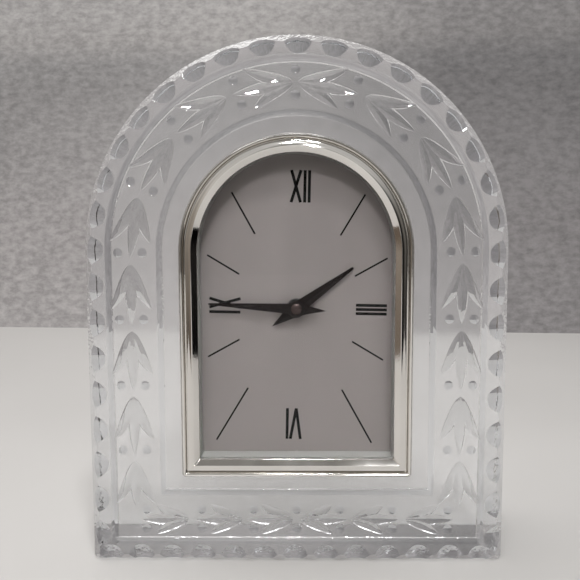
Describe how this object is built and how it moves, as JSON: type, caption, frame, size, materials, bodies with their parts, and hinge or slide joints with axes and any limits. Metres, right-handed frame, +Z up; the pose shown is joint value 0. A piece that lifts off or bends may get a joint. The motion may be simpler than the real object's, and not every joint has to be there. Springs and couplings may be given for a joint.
{
  "type": "mantel clock",
  "caption": "Arched cut-crystal mantel clock with a stepped, leaf-cut front, a chrome-framed arched dial insert and a battery quartz movement set from the open back.",
  "frame": {"origin": "centre of the bounding box at the base, on the surface that the clock stands on", "axes": "+Z up; the dial faces -Y; +X to the right of someone reading the dial"},
  "size_m": [0.14, 0.0522, 0.1765],
  "materials": {
    "crystal": "polished cut lead crystal, clear",
    "chrome": "polished plate",
    "lens_glass": "clear mineral glass",
    "dial_silver": "fine satin silver lacquer",
    "hand_dark": "dark polished lacquer",
    "black_plastic": "fine matt texture",
    "grey_plastic": "satin",
    "white_nylon": "smooth moulded",
    "rubber": "matt",
    "brass": "turned",
    "steel": "plain plated",
    "copper": "enamelled wire, glossy",
    "board": "solder mask",
    "battery_wrap": "printed sleeve, plain"
  },
  "bodies": {
    "crystal": {"crystal_body": "crystal"},
    "insert": {"bezel": "chrome", "lens": "lens_glass", "dial_surround": "dial_silver", "dial": "dial_silver", "insert_housing": "black_plastic", "sealing_ring": "rubber", "movement_screw_1": "steel", "movement_screw_2": "steel", "movement_screw_3": "steel", "movement_screw_4": "steel", "movement_front_plate": "black_plastic", "movement_back_case": "black_plastic", "mid_plate": "grey_plastic", "train_bridge": "grey_plastic", "stator": "steel", "coil_core": "steel", "coil_bobbin": "white_nylon", "coil_winding": "copper", "circuit_board": "board", "timer_chip": "black_plastic", "quartz_can": "steel", "positive_contact": "steel", "negative_contact": "steel"},
    "minute_work": {"minute_arbor": "brass", "minute_hand": "hand_dark", "hand_cap": "hand_dark"},
    "hour_work": {"hour_wheel": "white_nylon", "hour_hand": "hand_dark"},
    "minute_transfer": {"minute_wheel": "white_nylon"},
    "setting": {"setting_stem": "white_nylon", "setting_knob": "black_plastic"},
    "seconds_arbor": {"seconds_wheel": "white_nylon"},
    "centre": {"centre_wheel": "white_nylon"},
    "third": {"third_wheel": "white_nylon"},
    "step": {"step_wheel": "white_nylon"},
    "rotor_body": {"rotor": "steel"},
    "battery_cell": {"battery": "battery_wrap"}
  },
  "joints": [
    {"name": "insert_pull", "type": "slide", "parent": "crystal", "child": "insert", "axis": [0, -1, 0], "range_m": [0, 0.032]},
    {"name": "minute_turn", "type": "hinge", "parent": "insert", "child": "minute_work", "pos_m": [0, 0, 0.087], "axis": [0, 1, 0], "continuous": true},
    {"name": "hour_turn", "type": "hinge", "parent": "insert", "child": "hour_work", "pos_m": [0, 0, 0.087], "axis": [0, 1, 0], "continuous": true},
    {"name": "minute_wheel_turn", "type": "hinge", "parent": "insert", "child": "minute_transfer", "pos_m": [0.00509, 0, 0.09209], "axis": [0, 1, 0], "continuous": true},
    {"name": "setting_turn", "type": "hinge", "parent": "insert", "child": "setting", "pos_m": [0.00509, 0, 0.10019], "axis": [0, 1, 0], "continuous": true},
    {"name": "seconds_turn", "type": "hinge", "parent": "insert", "child": "seconds_arbor", "pos_m": [0, 0, 0.087], "axis": [0, 1, 0], "continuous": true},
    {"name": "centre_turn", "type": "hinge", "parent": "insert", "child": "centre", "pos_m": [0, 0, 0.087], "axis": [0, 1, 0], "continuous": true},
    {"name": "third_turn", "type": "hinge", "parent": "insert", "child": "third", "pos_m": [-0.00601, 0, 0.09301], "axis": [0, 1, 0], "continuous": true},
    {"name": "step_turn", "type": "hinge", "parent": "insert", "child": "step", "pos_m": [0.006, 0, 0.087], "axis": [0, 1, 0], "continuous": true},
    {"name": "rotor_turn", "type": "hinge", "parent": "insert", "child": "rotor_body", "pos_m": [0.01085, 0, 0.0898], "axis": [0, 1, 0], "continuous": true},
    {"name": "battery_slide", "type": "slide", "parent": "insert", "child": "battery_cell", "axis": [0, 1, 0], "range_m": [0, 0.042]}
  ],
  "couplings": [
    {"joint": "hour_turn", "follows": "minute_turn", "ratio": 0.083333},
    {"joint": "minute_wheel_turn", "follows": "minute_turn", "ratio": -0.33333},
    {"joint": "setting_turn", "follows": "minute_turn", "ratio": 0.66667},
    {"joint": "centre_turn", "follows": "seconds_turn", "ratio": 0.016667},
    {"joint": "third_turn", "follows": "seconds_turn", "ratio": -0.13333},
    {"joint": "step_turn", "follows": "seconds_turn", "ratio": -5},
    {"joint": "rotor_turn", "follows": "seconds_turn", "ratio": 30}
  ]
}
